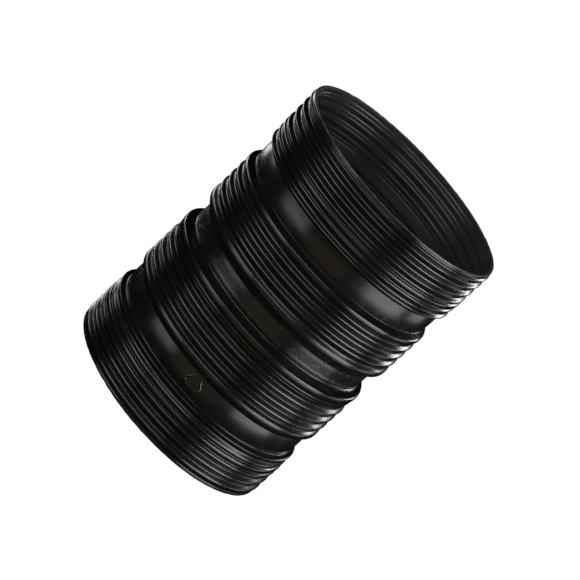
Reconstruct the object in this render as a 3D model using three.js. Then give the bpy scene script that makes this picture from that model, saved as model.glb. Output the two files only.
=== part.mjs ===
// Push-fit coupling for 110 mm corrugated cable conduit.
//
// One thin blow-moulded sleeve joins two conduit ends. Each half is a socket: a mouth band with fine ribs,
// a smooth waist that grips the conduit, an inner ribbed band, and a narrow centre waist that both conduit
// ends butt against. A rubber sealing ring sits in the groove behind the inner band's smooth crown, one in
// each socket. The halves mirror each other, except that the lower one has a plain ledge beside its crown,
// which moves its ribs outwards and leaves its mouth shorter, with one rib fewer.
//
// Units are millimetres. +Z runs along the bore, and the origin is the centre of the coupling.
import * as THREE from "three";

// ---- Driving dimensions -----------------------------------------------------------------------------
const CREST_RADIUS = 59; // rib crests, the largest radius of every band
const HALF_LENGTH = 79; // centre to a rim
const WALL = 1.5; // moulded wall
const RIB_DEPTH = 1.2; // crest to valley
const WAIST_DEPTH = 2.6; // crest to the floor of a gripping waist
const CENTRE_DEPTH = 4; // crest to the floor of the centre waist
const FACETS = 36; // facets round the bore, a multiple of four

const VALLEY_RADIUS = CREST_RADIUS - RIB_DEPTH;
const WAIST_RADIUS = CREST_RADIUS - WAIST_DEPTH;
const CENTRE_RADIUS = CREST_RADIUS - CENTRE_DEPTH;

// Heights of each feature of the upper half. The lower half repeats them downwards.
const CENTRE_FLOOR_END = 5.8; // floor of the centre waist
const CROWN = { start: 8.6, end: 11.3 }; // smooth crown with the seal groove behind it
const INNER_RIBS = { first: 15.8, pitch: 5.35, count: 3 }; // crests of the inner band
const SHOULDER = { start: 31.7, end: 33.9 }; // broad last crest of the inner band
const WAIST = { start: 36, end: 48.3 }; // gripping waist's floor
const MOUTH_BEADS = [49.8, 54.6]; // low beads between the waist and the mouth crown
const MOUTH_CROWN = { start: 57.2, end: 58.7 }; // smooth crown of the mouth band
const MOUTH_RIBS = { first: 61, pitch: 5.15, count: 4 }; // crests beyond the mouth crown
const LOWER_MOUTH_RIBS = { first: 61.4, pitch: 5.35, count: 3 }; // the same, before the ledge moves them
const LIP = 2; // plain edge between the last rib and the rim

const LEDGE = 3.2; // length of the lower half's extra ledge
const STOP_BEAD = -3.4; // height of the one bead on the floor of the centre waist

// ---- Outline of the sleeve --------------------------------------------------------------------------
// An outline is a list of [height, radius] points on the outer surface, bottom to top.

// The centre waist: a plain floor with one bead.
function centreWaist() {
  return [
    [-CENTRE_FLOOR_END, CENTRE_RADIUS],
    [STOP_BEAD - 0.9, CENTRE_RADIUS],
    [STOP_BEAD, CENTRE_RADIUS + 0.7],
    [STOP_BEAD + 0.9, CENTRE_RADIUS],
    [CENTRE_FLOOR_END, CENTRE_RADIUS],
  ];
}

// A smooth crown between the centre waist and the ribs.
function sealCrown() {
  return [
    [CROWN.start - 1.2, CREST_RADIUS - 2],
    [CROWN.start, CREST_RADIUS],
    [CROWN.end, CREST_RADIUS],
  ];
}

// A run of ribs: each crest after the valley that leads in, and the valley that leads out of the last.
function ribs({ first, pitch, count }) {
  const points = [[first - pitch / 2, VALLEY_RADIUS]];
  for (let i = 0; i < count; i++) {
    const crest = first + i * pitch;
    points.push([crest, CREST_RADIUS], [crest + pitch / 2, VALLEY_RADIUS]);
  }
  return points;
}

// The rest of the inner band: its ribs and its broad last crest.
function innerBand() {
  return [
    ...ribs(INNER_RIBS),
    [SHOULDER.start, CREST_RADIUS],
    [SHOULDER.end, CREST_RADIUS],
  ];
}

// The gripping waist: a plain cylinder whose inside just holds the conduit.
function grippingWaist() {
  return [
    [WAIST.start, WAIST_RADIUS],
    [WAIST.end, WAIST_RADIUS],
  ];
}

// The mouth band: low beads, a smooth crown and fine ribs.
function mouthBand(mouthRibs) {
  const beads = MOUTH_BEADS.flatMap((bead) => [
    [bead, CREST_RADIUS - 0.3],
    [bead + 1.6, VALLEY_RADIUS],
  ]);
  const crown = [
    [MOUTH_CROWN.start, CREST_RADIUS],
    [MOUTH_CROWN.end, CREST_RADIUS],
  ];
  const [, ...crests] = ribs(mouthRibs);
  const valleyBefore = [(MOUTH_CROWN.end + mouthRibs.first) / 2, VALLEY_RADIUS + 0.4];
  return [...beads, ...crown, valleyBefore, ...crests];
}

// Everything between a crown and its rim, moved outwards by the ledge, as far as fits before the plain lip.
function socket(ledge, mouthRibs) {
  const bands = [...innerBand(), ...grippingWaist(), ...mouthBand(mouthRibs)];
  const moved = bands.map(([height, radius]) => [height + ledge, radius]);
  const fitting = moved.filter(([height]) => height < HALF_LENGTH - LIP);
  return [...fitting, [HALF_LENGTH - LIP / 2, CREST_RADIUS - 0.7], [HALF_LENGTH, CREST_RADIUS - 0.5]];
}

// The lower half's extra ledge, a plain step just below the crests.
function lowerLedge() {
  return [
    [CROWN.end + 1.5, CREST_RADIUS - 0.5],
    [CROWN.end + LEDGE, CREST_RADIUS - 0.6],
  ];
}

// ---- Sub-parts --------------------------------------------------------------------------------------
// A ring turned about the bore from a closed outline of [height, radius] points, which runs up the
// outside and down the inside.
function ring(outline) {
  const points = outline.map(([height, radius]) => new THREE.Vector2(radius, height));
  points.push(points[0].clone());
  return new THREE.LatheGeometry(points, FACETS).rotateX(Math.PI / 2);
}

// The sleeve follows one outline outside and the same outline, one wall thinner, inside.
function sleeveGeometry() {
  const upper = [...sealCrown(), ...socket(0, MOUTH_RIBS)];
  const lower = [...sealCrown(), ...lowerLedge(), ...socket(LEDGE, LOWER_MOUTH_RIBS)];
  const turnedDown = lower.map(([height, radius]) => [-height, radius]).reverse();
  const outer = [...turnedDown, ...centreWaist(), ...upper];
  const inner = outer.map(([height, radius]) => [height, radius - WALL]).reverse();
  return ring([...outer, ...inner]);
}

// A sealing ring: an outer bead that fills the groove, a foot on each side and a lip that wipes the conduit.
const SEAL_GAP = 0.3; // between the relaxed rubber and the sleeve
const SEAL_OUTER_RADIUS = CREST_RADIUS - WALL - SEAL_GAP;
const SEAL_LIP_RADIUS = 54.2;
const SEAL_FOOT = { start: CROWN.start - 1.2, end: CROWN.end + 1.8 };

function sealGeometry() {
  const footRadius = SEAL_LIP_RADIUS + 1;
  return ring([
    [SEAL_FOOT.start, footRadius],
    [CROWN.start + 0.4, SEAL_OUTER_RADIUS],
    [CROWN.end - 0.2, SEAL_OUTER_RADIUS],
    [SEAL_FOOT.end, footRadius],
    [SEAL_FOOT.end - 0.8, footRadius - 0.5],
    [CROWN.start + 2.7, footRadius - 0.3],
    [CROWN.start + 1.5, SEAL_LIP_RADIUS],
    [CROWN.start + 0.4, SEAL_LIP_RADIUS],
    [SEAL_FOOT.start + 0.9, footRadius - 0.5],
  ]);
}

// ---- Materials --------------------------------------------------------------------------------------
const BLACK_POLYETHYLENE = new THREE.MeshStandardMaterial({
  color: 0x17161a,
  roughness: 0.35,
  metalness: 0,
});
const SEAL_RUBBER = new THREE.MeshStandardMaterial({
  color: 0x1c1c1c,
  roughness: 0.8,
  metalness: 0,
});

// ---- Assembly ---------------------------------------------------------------------------------------
function namedMesh(name, geometry, material) {
  const mesh = new THREE.Mesh(geometry, material);
  mesh.name = name;
  return mesh;
}

const coupling = new THREE.Group();
coupling.add(namedMesh("coupling_sleeve", sleeveGeometry(), BLACK_POLYETHYLENE));

coupling.add(namedMesh("upper_sealing_ring", sealGeometry(), SEAL_RUBBER));

const lowerSeal = namedMesh("lower_sealing_ring", sealGeometry(), SEAL_RUBBER);
lowerSeal.rotation.x = Math.PI; // the lower socket is the upper one turned end for end
coupling.add(lowerSeal);

export default coupling;
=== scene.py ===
"""Looks for the 110 mm conduit coupling: a black blow-moulded sleeve with a sealing ring in each socket.

The coupling stands upright, with +Z along its bore. The camera is rolled, so the bore points to the
upper right. Outlines are in millimetres and the pieces are made in metres.
"""

import math

import bpy
import numpy as np
from mathutils import Matrix, Vector


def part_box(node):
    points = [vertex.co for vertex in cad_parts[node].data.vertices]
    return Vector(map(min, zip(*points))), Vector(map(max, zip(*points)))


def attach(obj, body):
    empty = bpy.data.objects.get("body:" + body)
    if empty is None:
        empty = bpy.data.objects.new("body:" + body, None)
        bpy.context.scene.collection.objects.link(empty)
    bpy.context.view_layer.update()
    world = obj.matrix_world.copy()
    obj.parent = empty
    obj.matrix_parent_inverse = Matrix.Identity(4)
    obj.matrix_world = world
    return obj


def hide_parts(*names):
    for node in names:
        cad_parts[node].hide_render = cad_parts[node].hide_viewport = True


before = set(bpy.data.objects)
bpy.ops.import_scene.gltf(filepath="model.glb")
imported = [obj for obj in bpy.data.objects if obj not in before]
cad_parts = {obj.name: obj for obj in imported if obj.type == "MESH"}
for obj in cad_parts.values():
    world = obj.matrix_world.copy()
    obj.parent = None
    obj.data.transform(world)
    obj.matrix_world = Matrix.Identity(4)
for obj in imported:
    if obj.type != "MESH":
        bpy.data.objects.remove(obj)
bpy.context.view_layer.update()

MM = 0.001
TAU = 2 * math.pi

SLEEVE_LOW, SLEEVE_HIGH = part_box("coupling_sleeve")
CREST_RADIUS = SLEEVE_HIGH.x
HALF_LENGTH = SLEEVE_HIGH.z
WALL = 1.5 * MM

# ---- Dimensions of the outside ----------------------------------------------------------------------
# Corners are [height, depth below the crests] in millimetres, bottom to top. Those after the centre
# waist describe the upper half, and the lower half has the same ones downwards, apart from LOWER_ ones.
CENTRE_WAIST = [[-6.5, 3.4], [-5.3, 4.6], [-3.9, 3.8], [-3.2, 3.84], [-2.2, 3.92]]
CENTRE_WAIST += [[2.2, 3.9], [4.4, 3.98], [5.1, 3.7], [6, 3.6]]
SEAL_CROWN = [[7.2, 1.7], [7.9, 0.3], [8.5, 0.08], [9.8, 0], [11.1, 0.08], [11.7, 0.5]]
SHOULDER = [[31.2, 0.18], [31.9, 0.04], [32.8, 0], [33.6, 0.06], [34.1, 0.25]]
MOUTH_BEADS = [[49.3, 0.3], [50.1, 0.2], [51.8, 1.35], [52.4, 1.35], [54.2, 0.2], [54.8, 0.2], [56, 1.1]]
MOUTH_CROWN = [[56.6, 0.35], [57.1, 0.08], [58.1, 0], [58.9, 0.06], [59.7, 1]]
LIP = [[77.2, 0.8], [77.9, 0.5], [79, 0.6]]

# The gripping waist is a shallow barrel, deeper by its bulge at both ends.
GRIP_MIDDLE = 42.35
GRIP_HALF_LENGTH = 6.05
GRIP_DEPTH = 2.42
GRIP_BULGE = 0.5
GRIP_END = GRIP_MIDDLE + GRIP_HALF_LENGTH

CREST_HALF_FLAT = 0.45
VALLEY = {"half_flat": 0.35, "depth": 1.4}
LOWER_VALLEY = {"half_flat": 0.1, "depth": 1.6}
INNER_RIBS = {"first": 16, "pitch": 5.35, "count": 3}
MOUTH_RIBS = {"first": 60.9, "pitch": 5.15, "count": 4}
LOWER_MOUTH_RIBS = {"first": 61.3, "pitch": 5.35, "count": 3}

# The lower half's extra ledge beside its crown, which moves all beyond it outwards.
LEDGE = 3.2
LOWER_LEDGE = [[12.4, 0.5], [13.1, 0.3], [13.8, 0.8], [14.4, 0.6]]

# How widely corners are rounded, in millimetres. The lower half's hollows are crisper than the rest,
# and the hollow corner above the upper shoulder is the crispest.
OUTSIDE_ROUNDING = 0.34
INSIDE_ROUNDING = 0.3
MOUTH_INSIDE_ROUNDING = 0.7
LOWER_HOLLOW_SHARE = 0.35
CRISP_CORNER = 36.3
CRISP_REACH = 0.8
CRISPNESS = 0.7


# ---- Outline ----------------------------------------------------------------------------------------
def ribs(valley, first, pitch, count):
    """Corners of a run of ribs, each crest with the valley beyond it."""
    corners = []
    for i in range(count):
        crest = first + i * pitch
        middle = first + (i + 0.5) * pitch
        corners.append([crest - CREST_HALF_FLAT, 0])
        corners.append([crest + CREST_HALF_FLAT, 0])
        corners.append([middle - valley["half_flat"], valley["depth"]])
        corners.append([middle + valley["half_flat"], valley["depth"]])
    return corners


def grip_waist():
    """Corners of the gripping waist."""
    steps = np.linspace(-1, 1, 9)
    return [[GRIP_MIDDLE + GRIP_HALF_LENGTH * t, GRIP_DEPTH + GRIP_BULGE * t * t] for t in steps]


def half_outline(ledge, valley, mouth_ribs):
    """Corners of one half's outside, from its crown to its rim."""
    first_valley = [INNER_RIBS["first"] - INNER_RIBS["pitch"] / 2, valley["depth"]]
    inner_band = [first_valley] + ribs(valley, **INNER_RIBS) + SHOULDER
    mouth_band = MOUTH_BEADS + MOUTH_CROWN + ribs(valley, **mouth_ribs)
    moved = [[height + ledge, depth] for height, depth in inner_band + grip_waist() + mouth_band]
    fitting = [corner for corner in moved if corner[0] < LIP[0][0]]
    beside_crown = LOWER_LEDGE if ledge else []
    return SEAL_CROWN + beside_crown + fitting + LIP


def outside_corners():
    """Corners of the whole outside, from the lower rim to the upper one."""
    lower = half_outline(LEDGE, LOWER_VALLEY, LOWER_MOUTH_RIBS)
    upper = half_outline(0, VALLEY, MOUTH_RIBS)
    turned_down = [[-height, depth] for height, depth in reversed(lower)]
    return np.array(turned_down + CENTRE_WAIST + upper)


def local_rounding(heights, depths, rounding):
    """The rounding at each height, less in the lower half's hollows and near the crisp corner."""
    in_lower_hollow = (heights < -SEAL_CROWN[0][0]) & (depths > VALLEY["depth"] / 2)
    rounding = np.where(in_lower_hollow, LOWER_HOLLOW_SHARE * rounding, rounding)
    near_corner = np.exp(-(((heights - CRISP_CORNER) / CRISP_REACH) ** 2))
    return rounding * (1 - CRISPNESS * near_corner)


def rounded(heights, corners, rounding):
    """Depth at each height, averaged over a bell curve as wide as the rounding."""
    depths = np.interp(heights, corners[:, 0], corners[:, 1])
    widths = local_rounding(heights, depths, rounding)
    reach = np.arange(-3, 3.01, 0.25)
    bell = np.exp(-reach * reach / 2)
    total = np.zeros(len(heights))
    for offset, weight in zip(reach, bell):
        total += weight * np.interp(heights + offset * widths, corners[:, 0], corners[:, 1])
    return total / bell.sum()


# ---- Meshes -----------------------------------------------------------------------------------------
def new_piece(name, points, faces):
    """A smooth-shaded object in the scene."""
    mesh = bpy.data.meshes.new(name)
    mesh.from_pydata(points, [], faces)
    mesh.shade_smooth()
    piece = bpy.data.objects.new(name, mesh)
    bpy.context.scene.collection.objects.link(piece)
    return piece


def around_bore(height, radius, angle):
    """Points at these heights, radii and angles. Angle 0 faces -Y, and a quarter turn faces +X."""
    points = np.stack([radius * np.sin(angle), -radius * np.cos(angle), height], axis=-1)
    return points.reshape(-1, 3)


def lathe(name, outline, segments, wobble=None):
    """A closed ring turned about the bore from [height, radius] rows in metres. wobble moves its points."""
    angles = np.arange(segments) * TAU / segments
    height, angle = np.meshgrid(outline[:, 0], angles, indexing="ij")
    radius = np.repeat(outline[:, 1:2], segments, axis=1)
    if wobble:
        height, radius = wobble(height, radius, angle)

    index = np.arange(len(outline) * segments).reshape(-1, segments)
    above = np.roll(index, -1, axis=0)
    faces = np.stack([index, np.roll(index, -1, axis=1), np.roll(above, -1, axis=1), above], axis=-1)
    return new_piece(name, around_bore(height, radius, angle), faces.reshape(-1, 4))


# ---- Sleeve -----------------------------------------------------------------------------------------
SLEEVE_SEGMENTS = 288
HEIGHT_STEP = 0.25  # between rows of points, in millimetres
CRISP_CORNER_STEP = 0.09
CUT_BEVEL = 0.3  # from the last row of the outside to the rim

# Across a cut rim: part of the wall's thickness from the outside, and drop below the rim in millimetres.
CUT_ROWS = [[0.04, 0.12], [0.12, 0.03], [0.3, 0], [0.5, 0.02], [0.7, 0], [0.88, 0.03], [0.96, 0.12]]

# Unevenness of the moulding, in metres.
RING_TILT = 1.3 * MM
CUT_WAVINESS = 0.07 * MM
OUT_OF_ROUND = 0.1 * MM
OVAL_TURN = 0.7  # turns the oval round the bore, in radians
WALL_WAVINESS = 0.02 * MM
MOUTH_FLARE = 1.1 * MM
FLARE_TURN = 0.3  # turns the flare away from -X, in radians
CREST_CLEARANCE = 0.12 * MM  # so that nothing but the flare passes the true crest radius

# Where the beads don't show inside, a plain slope from the gripping waist to the mouth's crown.
SLOPE_START_DEPTH = 2.6
SLOPE_END_DEPTH = 1.3
MOUTH_FADE = 2  # the smoother inside of a mouth comes in over this height
BEADS_FADE = 1  # the slope gives way to the mouth's crown over this height


def waves(angle, height, seed, count, longest, shortest):
    """Smooth unevenness, a sum of waves that close round the bore."""
    source = np.random.default_rng(seed)
    total = np.zeros(angle.shape)
    for _ in range(count):
        turns = source.integers(0, int(TAU * CREST_RADIUS / shortest))
        length = source.uniform(shortest, longest)
        slope = source.choice([-1, 1]) * TAU / length
        total += np.sin(turns * angle + slope * height + source.uniform(0, TAU))
    return total / math.sqrt(count)


def uneven_height(height, angle):
    """The cut rims rise and fall a little, and the rings sit more askew towards the lower end."""
    on_rim = np.clip((np.abs(height) - HALF_LENGTH + CUT_BEVEL * MM) / (CUT_BEVEL * MM), 0, 1)
    cut = waves(angle, 0 * height, seed=11, count=12, longest=60 * MM, shortest=5 * MM)
    height = height + CUT_WAVINESS * np.sign(height) * on_rim * cut
    return height + RING_TILT * (height / HALF_LENGTH - 1) / 2 * np.sin(angle)


def uneven_radius(height, radius, angle):
    """The wall is slightly oval and wavy, and the upper mouth flares on its -X side."""
    radius = radius + OUT_OF_ROUND * np.sin(2 * angle + OVAL_TURN) - CREST_CLEARANCE
    radius += WALL_WAVINESS * waves(angle, height, seed=3, count=14, longest=90 * MM, shortest=22 * MM)
    near_mouth = np.clip(height / HALF_LENGTH * 2 - 1, 0, 1) ** 2
    one_side = np.clip(-np.sin(angle + FLARE_TURN), 0, 1) ** 2
    return radius + MOUTH_FLARE * near_mouth * one_side


def moulding_wobble(height, radius, angle):
    """Moves points as an uneven blow moulding has them."""
    height = uneven_height(height, angle)
    return height, uneven_radius(height, radius, angle)


def inside_depth(heights, corners):
    """The inside repeats the outside, but the mouths are smoother and their beads don't show at all."""
    inner = rounded(heights, corners, INSIDE_ROUNDING)
    mouth = rounded(heights, corners, MOUTH_INSIDE_ROUNDING)
    crown_start = MOUTH_CROWN[0][0]
    slope_heights = [-crown_start - LEDGE, -GRIP_END - LEDGE, GRIP_END, crown_start]
    slope_depths = [SLOPE_END_DEPTH, SLOPE_START_DEPTH, SLOPE_START_DEPTH, SLOPE_END_DEPTH]
    slope = np.interp(heights, slope_heights, slope_depths)

    in_mouth = np.clip((np.abs(heights) - GRIP_END - BEADS_FADE) / MOUTH_FADE, 0, 1)
    in_beads = in_mouth * np.clip(crown_start + BEADS_FADE - np.abs(heights), 0, 1)
    depth = inner + (mouth - inner) * in_mouth
    return depth + (slope - depth) * in_beads


def row_heights():
    """Heights of the rows of points between the cut rims, closer together at the crisp corner."""
    end = HALF_LENGTH / MM - CUT_BEVEL
    even = np.linspace(-end, end, round(2 * end / HEIGHT_STEP))
    close = np.arange(CRISP_CORNER - CRISP_REACH, CRISP_CORNER + 1, CRISP_CORNER_STEP)
    return np.unique(np.concatenate([even, close]))


def sleeve_rows():
    """Rows up the outside, over the upper rim, down the inside and over the lower rim.

    Each row is [height, radius, depth below the crests, 1 inside, 1 on a cut rim], in millimetres.
    """
    corners = outside_corners()
    crest = CREST_RADIUS / MM
    wall = WALL / MM
    rim = HALF_LENGTH / MM
    rim_radius = crest - LIP[-1][1]
    upwards = row_heights()
    downwards = upwards[::-1]
    rows = []
    for height, depth in zip(upwards, rounded(upwards, corners, OUTSIDE_ROUNDING)):
        rows.append([height, crest - depth, depth, 0, 0])
    for across, drop in CUT_ROWS:
        rows.append([rim - drop, rim_radius - across * wall, 0, 0, 1])
    for height, depth in zip(downwards, inside_depth(downwards, corners)):
        rows.append([height, crest - depth - wall, depth, 1, 0])
    for across, drop in reversed(CUT_ROWS):
        rows.append([drop - rim, rim_radius - across * wall, 0, 0, 1])
    return np.array(rows)


def make_sleeve():
    """The moulded sleeve, with the last three columns of its rows kept on the mesh for its material."""
    rows = sleeve_rows()
    sleeve = lathe("coupling_sleeve_moulding", rows[:, :2] * MM, SLEEVE_SEGMENTS, moulding_wobble)
    for name, column in (("depth", 2), ("inside", 3), ("cut", 4)):
        numbers = sleeve.data.attributes.new(name, "FLOAT", "POINT")
        numbers.data.foreach_set("value", np.repeat(rows[:, column], SLEEVE_SEGMENTS))
    return sleeve


# ---- Raised details of the moulding -----------------------------------------------------------------
# Paths are [distance round the sleeve, height], in millimetres. Distance 0 faces -Y.
RIDGE_SIDES = 10
RIDGE_SUNK = 0.15  # how far a ridge's middle lies below the surface
RIDGE_RISE = 0.35  # how far its top stands above the surface
END_TAPER = 0.1  # in radians of a half wave, so that the ends of an open ridge stay a little blunt

MARK = {"around": 1.5, "height": -44.6, "reach": 4.2, "lobes": 0.16, "squash": 0.8, "points": 48}
MARK_WIDTH = 1.1
MARK_SURFACE_DEPTH = 2.5

FLASH = {"start": -65, "length": 12, "height": -3.4, "climb": 3.2, "bend": 0.6, "points": 24}
FLASH_WIDTH = 0.8
FLASH_SURFACE_DEPTH = 3.95


def mark_path():
    """A rounded triangle, the generic moulder's mark in the lower gripping waist."""
    path = []
    for turn in np.linspace(0, TAU, MARK["points"], endpoint=False):
        reach = MARK["reach"] * (1 + MARK["lobes"] * math.cos(3 * turn))
        across = MARK["around"] + reach * math.sin(turn)
        path.append([across, MARK["height"] + MARK["squash"] * reach * math.cos(turn)])
    return path


def flash_path():
    """A short curl of pinched-off plastic on the floor of the centre waist."""
    path = []
    for along in np.linspace(0, 1, FLASH["points"]):
        climb = FLASH["climb"] * math.sin(along * math.pi * FLASH["bend"])
        path.append([FLASH["start"] + FLASH["length"] * along, FLASH["height"] + climb])
    return path


def sideways(path, closed):
    """Unit vectors across a path at each of its points."""
    if closed:
        forward = np.roll(path, -1, axis=0) - np.roll(path, 1, axis=0)
    else:
        forward = np.gradient(path, axis=0)
    forward /= np.linalg.norm(forward, axis=1, keepdims=True)
    return np.stack([-forward[:, 1], forward[:, 0]], axis=1)


def tube_faces(count, closed):
    """Faces of a tube of that many rings, with an end cap on each end of an open one."""
    index = np.arange(count * RIDGE_SIDES).reshape(count, RIDGE_SIDES)
    faces = []
    for i in range(count if closed else count - 1):
        ring, after = index[i], index[(i + 1) % count]
        for k in range(RIDGE_SIDES):
            beside = (k + 1) % RIDGE_SIDES
            faces.append([ring[k], ring[beside], after[beside], after[k]])
    if not closed:
        faces += [index[0][::-1], index[-1]]
    return faces


def raised_line(name, path, surface_depth, width, closed):
    """A rounded ridge along a path, half sunk in the wall. An open one tapers to its ends."""
    path = np.array(path)
    around = np.linspace(0, TAU, RIDGE_SIDES, endpoint=False)
    taper = np.sin(np.linspace(END_TAPER, math.pi - END_TAPER, len(path)))
    size = np.ones((len(path), 1)) if closed else taper[:, None]
    spread = width / 2 * size * np.cos(around)
    across = sideways(path, closed)

    surface = CREST_RADIUS - surface_depth * MM
    angle = (path[:, :1] + across[:, :1] * spread) * MM / surface
    height = (path[:, 1:] + across[:, 1:] * spread) * MM
    radius = surface - RIDGE_SUNK * MM + (RIDGE_RISE * size + RIDGE_SUNK) * MM * np.sin(around)
    height, radius = moulding_wobble(height, radius, angle)
    return new_piece(name, around_bore(height, radius, angle), tube_faces(len(path), closed))


# ---- Sealing rings ----------------------------------------------------------------------------------
# Heights and radii in millimetres, up the outside and down the inside.
SEAL_OUTLINE = [[7.4, 55.2], [9, 57.1], [11.1, 57.1], [13.1, 55.2], [12.3, 54.7]]
SEAL_OUTLINE += [[11.3, 54.9], [10.1, 54.2], [9, 54.2], [8.3, 54.7]]
SEAL_SEGMENTS = 180
SEAL_ROUNDINGS = 3


def corners_cut(outline):
    """The same closed outline with every corner cut off."""
    after = np.roll(outline, -1, axis=0)
    both = np.stack([0.75 * outline + 0.25 * after, 0.25 * outline + 0.75 * after], axis=1)
    return both.reshape(-1, 2)


def make_seal(name, upper):
    """One sealing ring with rounded corners. The lower one is turned end for end."""
    outline = np.array(SEAL_OUTLINE)
    for _ in range(SEAL_ROUNDINGS):
        outline = corners_cut(outline)
    if not upper:
        outline = outline[::-1] * [-1, 1]
    return lathe(name, outline * MM, SEAL_SEGMENTS)


# ---- Material nodes ---------------------------------------------------------------------------------
def add(tree, kind, inputs, **settings):
    """A node with its settings, and its inputs given as values or as other nodes' outputs."""
    made = tree.nodes.new(kind)
    for name, value in settings.items():
        setattr(made, name, value)
    for socket, value in inputs.items():
        if isinstance(value, bpy.types.NodeSocket):
            tree.links.new(value, made.inputs[socket])
        else:
            made.inputs[socket].default_value = value
    return made


def noise(tree, place, scale, detail=3):
    """Noise about 0.5; scale is in lumps per metre."""
    inputs = {"Vector": place, "Scale": scale, "Detail": detail}
    return add(tree, "ShaderNodeTexNoise", inputs).outputs["Fac"]


def remap(tree, value, low, high, to_low, to_high):
    """A value from low to high, stretched to run from to_low to to_high and held there beyond them."""
    levels = {"Value": value, "From Min": low, "From Max": high, "To Min": to_low, "To Max": to_high}
    return add(tree, "ShaderNodeMapRange", levels).outputs["Result"]


def multiply(tree, first, second):
    """The product of two values."""
    return add(tree, "ShaderNodeMath", {0: first, 1: second}, operation="MULTIPLY").outputs[0]


def plus(tree, first, second):
    """The sum of two values."""
    return add(tree, "ShaderNodeMath", {0: first, 1: second}, operation="ADD").outputs[0]


def blend(tree, factor, first, second):
    """Colour between the first at factor 0 and the second at factor 1."""
    return add(tree, "ShaderNodeMix", {0: factor, 6: first, 7: second}, data_type="RGBA").outputs[2]


def blend_value(tree, factor, first, second):
    """Value between the first at factor 0 and the second at factor 1."""
    return add(tree, "ShaderNodeMix", {0: factor, 2: first, 3: second}, data_type="FLOAT").outputs[0]


def bumped(tree, height, distance, below=None):
    """A normal that follows a height from 0 to 1, distance metres tall, laid over the bump below it."""
    inputs = {"Height": height, "Distance": distance, "Strength": 1}
    if below:
        inputs["Normal"] = below
    return add(tree, "ShaderNodeBump", inputs).outputs["Normal"]


def stored(tree, name):
    """A number kept on the mesh, 0 where it has none."""
    return add(tree, "ShaderNodeAttribute", {}, attribute_name=name).outputs["Fac"]


def stretched(tree, place, along_bore):
    """Coordinates that draw a pattern out along the bore, the more the smaller along_bore is."""
    scale = (1, 1, along_bore)
    return add(tree, "ShaderNodeMapping", {"Vector": place, "Scale": scale}).outputs["Vector"]


def new_material(name):
    """A material, its nodes, its shader and the object's own coordinates."""
    material = bpy.data.materials.new(name)
    material.use_nodes = True
    tree = material.node_tree
    place = tree.nodes.new("ShaderNodeTexCoord").outputs["Object"]
    return material, tree, tree.nodes["Principled BSDF"], place


# ---- Black polyethylene -----------------------------------------------------------------------------
OUTSIDE_COLOURS = [(0.0060, 0.0050, 0.0039, 1), (0.0085, 0.0073, 0.0058, 1)]
INSIDE_COLOURS = [(0.032, 0.030, 0.026, 1), (0.046, 0.043, 0.038, 1)]
SAWN_COLOURS = [(0.020, 0.019, 0.018, 1), (0.26, 0.25, 0.23, 1)]
DUST_COLOUR = (0.030, 0.028, 0.025, 1)
INSIDE_ROUGHNESS = 0.27
SAWN_ROUGHNESS = 0.6


def plastic_patterns(tree, place):
    """Patterns from 0 to 1 that the plastic's colour, gloss and relief share."""
    depth = stored(tree, "depth")
    in_valley = remap(tree, depth, 0.5, 1.3, 0, 1)
    in_centre_waist = remap(tree, depth, 3.2, 3.6, 0, 1)
    dust = remap(tree, noise(tree, place, 150, 5), 0.5, 0.75, 0, 0.2)
    pits = remap(tree, noise(tree, place, 420), 0.55, 0.7, 0, 1)
    return {
        "inside": stored(tree, "inside"),
        "cut": stored(tree, "cut"),
        "clouds": remap(tree, noise(tree, place, 45, 4), 0.35, 0.65, 0, 1),
        "specks": noise(tree, place, 1100, 4),
        "scuffs": remap(tree, noise(tree, stretched(tree, place, 0.3), 210, 5), 0.58, 0.72, 0, 1),
        "dusty": multiply(tree, in_valley, dust),
        "mottled": multiply(tree, in_centre_waist, pits),
    }


def plastic_colour(tree, patterns):
    """Near black outside, a little dust in the valleys, greyer inside, and pale specks on a cut rim."""
    outside = blend(tree, patterns["clouds"], *OUTSIDE_COLOURS)
    outside = blend(tree, patterns["dusty"], outside, DUST_COLOUR)
    inside = blend(tree, patterns["clouds"], *INSIDE_COLOURS)
    sawn = blend(tree, remap(tree, patterns["specks"], 0.42, 0.6, 0, 1), *SAWN_COLOURS)
    moulded = blend(tree, patterns["inside"], outside, inside)
    return blend(tree, patterns["cut"], moulded, sawn)


def plastic_roughness(tree, patterns):
    """Semi-gloss, duller where it is scuffed, dusty, mottled or cut."""
    roughness = remap(tree, patterns["clouds"], 0, 1, 0.205, 0.245)
    roughness = plus(tree, roughness, remap(tree, patterns["specks"], 0.3, 0.7, -0.01, 0.02))
    for name, strength in (("scuffs", 0.06), ("dusty", 0.3), ("mottled", 0.12)):
        roughness = plus(tree, roughness, multiply(tree, patterns[name], strength))
    roughness = blend_value(tree, patterns["inside"], roughness, INSIDE_ROUGHNESS)
    return blend_value(tree, patterns["cut"], roughness, SAWN_ROUGHNESS)


def plastic_relief(tree, patterns, place):
    """Soft waviness, lines along the bore, fine grain, a pitted centre waist and rough cut rims."""
    lines = noise(tree, stretched(tree, place, 0.06), 650)
    sawn = multiply(tree, patterns["cut"], noise(tree, place, 1500, 4))
    normal = bumped(tree, noise(tree, place, 140, 2), 0.015 * MM)
    normal = bumped(tree, lines, 0.004 * MM, normal)
    normal = bumped(tree, patterns["specks"], 0.002 * MM, normal)
    normal = bumped(tree, patterns["mottled"], 0.035 * MM, normal)
    return bumped(tree, sawn, 0.12 * MM, normal)


def black_polyethylene():
    """The sleeve's plastic."""
    material, tree, shader, place = new_material("black_polyethylene")
    patterns = plastic_patterns(tree, place)
    tree.links.new(plastic_colour(tree, patterns), shader.inputs["Base Color"])
    tree.links.new(plastic_roughness(tree, patterns), shader.inputs["Roughness"])
    tree.links.new(plastic_relief(tree, patterns, place), shader.inputs["Normal"])
    return material


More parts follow.
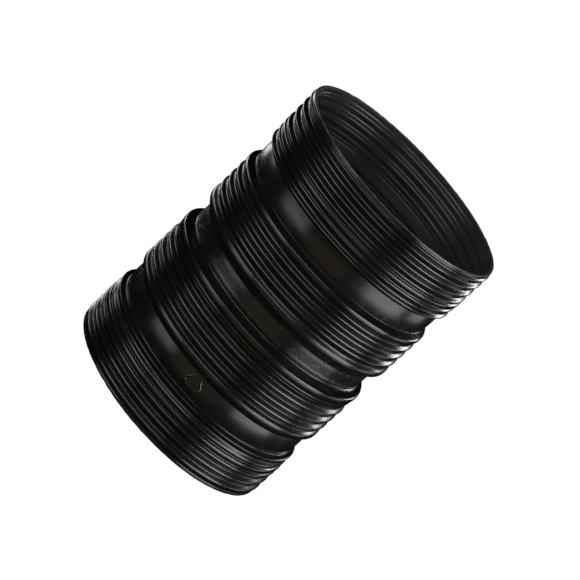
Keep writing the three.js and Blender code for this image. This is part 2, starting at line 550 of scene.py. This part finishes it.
# ---- Seal rubber ------------------------------------------------------------------------------------
RUBBER_COLOURS = [(0.012, 0.012, 0.012, 1), (0.028, 0.027, 0.026, 1)]


def seal_rubber():
    """Matt black rubber with a fine bloom."""
    material, tree, shader, place = new_material("seal_rubber")
    bloom = remap(tree, noise(tree, place, 90, 5), 0.4, 0.7, 0, 1)
    tree.links.new(blend(tree, bloom, *RUBBER_COLOURS), shader.inputs["Base Color"])
    tree.links.new(remap(tree, noise(tree, place, 600), 0.3, 0.7, 0.62, 0.85), shader.inputs["Roughness"])
    tree.links.new(bumped(tree, noise(tree, place, 1800), 0.01 * MM), shader.inputs["Normal"])
    return material


# ---- Camera -----------------------------------------------------------------------------------------
CAMERA_ELEVATION = math.radians(17.53)
CAMERA_ROLL = math.radians(47.17)
CAMERA_DISTANCE = 26.6 * CREST_RADIUS
LENS = 207.4
SENSOR_WIDTH = 36
AIM_RIGHT = 1.5 * MM
AIM_UP = 0.8 * MM


def make_camera():
    """A long lens on the -Y side, above the coupling's middle and rolled."""
    back = Vector((0, -math.cos(CAMERA_ELEVATION), math.sin(CAMERA_ELEVATION)))
    level_right = Vector((1, 0, 0))
    level_up = back.cross(level_right)
    right = math.cos(CAMERA_ROLL) * level_right + math.sin(CAMERA_ROLL) * level_up
    up = back.cross(right)
    camera = bpy.data.objects.new("camera", bpy.data.cameras.new("camera"))
    camera.data.lens = LENS
    camera.data.sensor_width = SENSOR_WIDTH
    camera.matrix_world = Matrix((right, up, back)).transposed().to_4x4()
    camera.location = back * CAMERA_DISTANCE + AIM_RIGHT * right + AIM_UP * up
    bpy.context.scene.collection.objects.link(camera)
    bpy.context.scene.camera = camera


# ---- Lights -----------------------------------------------------------------------------------------
LIGHT_DISTANCE = 0.9
WHITE = (1, 1, 1)
COOL = (0.97, 0.94, 1)
WARM = (1, 0.87, 0.7)


def softbox(name, azimuth, elevation, width, height, power, colour=WHITE):
    """A rectangular light that faces the coupling, with its size in metres and its power in watts.

    Azimuth 0 is the camera's side, and 90 is +X.
    """
    around = math.radians(azimuth)
    up = math.radians(elevation)
    out = Vector((math.sin(around) * math.cos(up), -math.cos(around) * math.cos(up), math.sin(up)))
    light = bpy.data.lights.new(name, "AREA")
    light.shape = "RECTANGLE"
    light.size = width
    light.size_y = height
    light.energy = power
    light.color = colour
    box = bpy.data.objects.new(name, light)
    box.location = out * LIGHT_DISTANCE
    box.rotation_euler = out.to_track_quat("Z", "Y").to_euler()
    box.visible_camera = False
    bpy.context.scene.collection.objects.link(box)


def make_lights():
    """Softboxes to the right and left, weak ones above and below, and strips that trace both edges."""
    softbox("right_softbox", 72, 8, 0.75, 0.16, 4.2, COOL)
    softbox("right_low", 72, -9, 0.75, 0.22, 1.8, COOL)
    softbox("left_softbox", -48, 13, 0.5, 0.22, 1.8)
    softbox("left_low", -48, -9, 0.55, 0.22, 0.65)
    softbox("top_strip", -3, 27, 0.8, 0.12, 1.85)
    softbox("front_fill", 0, -14, 0.8, 0.35, 0.22, WARM)
    softbox("mouth_light", 76, 21, 0.4, 0.1, 0.9)
    softbox("left_side", -118, 0, 0.35, 0.18, 0.5)
    softbox("back_left_strip", -146, -9, 0.3, 0.14, 0.4)
    softbox("right_side", 118, -4, 0.35, 0.24, 0.4)
    softbox("back_right_strip", 142, 7, 0.25, 0.11, 0.75)


# ---- Floor and surroundings -------------------------------------------------------------------------
FLOOR_HALF_WIDTH = 3
FLOOR_GAP = 0.2 * MM
FLOOR_BRIGHTNESS = 1.05


def white_floor():
    """A white that glows evenly by itself."""
    material = bpy.data.materials.new("white_floor")
    material.use_nodes = True
    nodes = material.node_tree.nodes
    nodes.remove(nodes["Principled BSDF"])
    glow = nodes.new("ShaderNodeEmission")
    glow.inputs["Strength"].default_value = FLOOR_BRIGHTNESS
    material.node_tree.links.new(glow.outputs[0], nodes["Material Output"].inputs["Surface"])
    return material


def make_floor():
    """A white floor just below the lower rim, which neither lights the coupling nor shows in its gloss."""
    edge = FLOOR_HALF_WIDTH
    low = SLEEVE_LOW.z - RING_TILT - FLOOR_GAP
    corners = [(-edge, -edge, low), (edge, -edge, low), (edge, edge, low), (-edge, edge, low)]
    floor = new_piece("floor", corners, [(0, 1, 2, 3)])
    floor.data.materials.append(white_floor())
    floor.visible_glossy = False
    floor.visible_diffuse = False
    floor.visible_shadow = False


def make_surroundings():
    """White surroundings that show behind the coupling and don't light it."""
    world = bpy.data.worlds.new("world")
    bpy.context.scene.world = world
    world.use_nodes = True
    nodes = world.node_tree.nodes
    path = nodes.new("ShaderNodeLightPath")
    background = nodes["Background"]
    background.inputs["Color"].default_value = (1, 1, 1, 1)
    world.node_tree.links.new(path.outputs["Is Camera Ray"], background.inputs["Strength"])


# ---- Assembly ---------------------------------------------------------------------------------------
def make_sleeve_pieces():
    """The sleeve, with its mark and the curl of flash."""
    plastic = black_polyethylene()
    sleeve = make_sleeve()
    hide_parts("coupling_sleeve")
    mark = raised_line("moulded_mark", mark_path(), MARK_SURFACE_DEPTH, MARK_WIDTH, closed=True)
    flash = raised_line("pinch_off_flash", flash_path(), FLASH_SURFACE_DEPTH, FLASH_WIDTH, closed=False)
    for piece in (sleeve, mark, flash):
        piece.data.materials.append(plastic)
        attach(piece, "root")


def make_seals():
    """A sealing ring in each socket."""
    rubber = seal_rubber()
    for end in ("upper", "lower"):
        seal = make_seal(end + "_sealing_ring_rubber", end == "upper")
        seal.data.materials.append(rubber)
        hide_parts(end + "_sealing_ring")
        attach(seal, "root")


make_sleeve_pieces()
make_seals()
make_floor()
make_surroundings()
make_lights()
make_camera()
bpy.context.scene.view_settings.view_transform = "Standard"
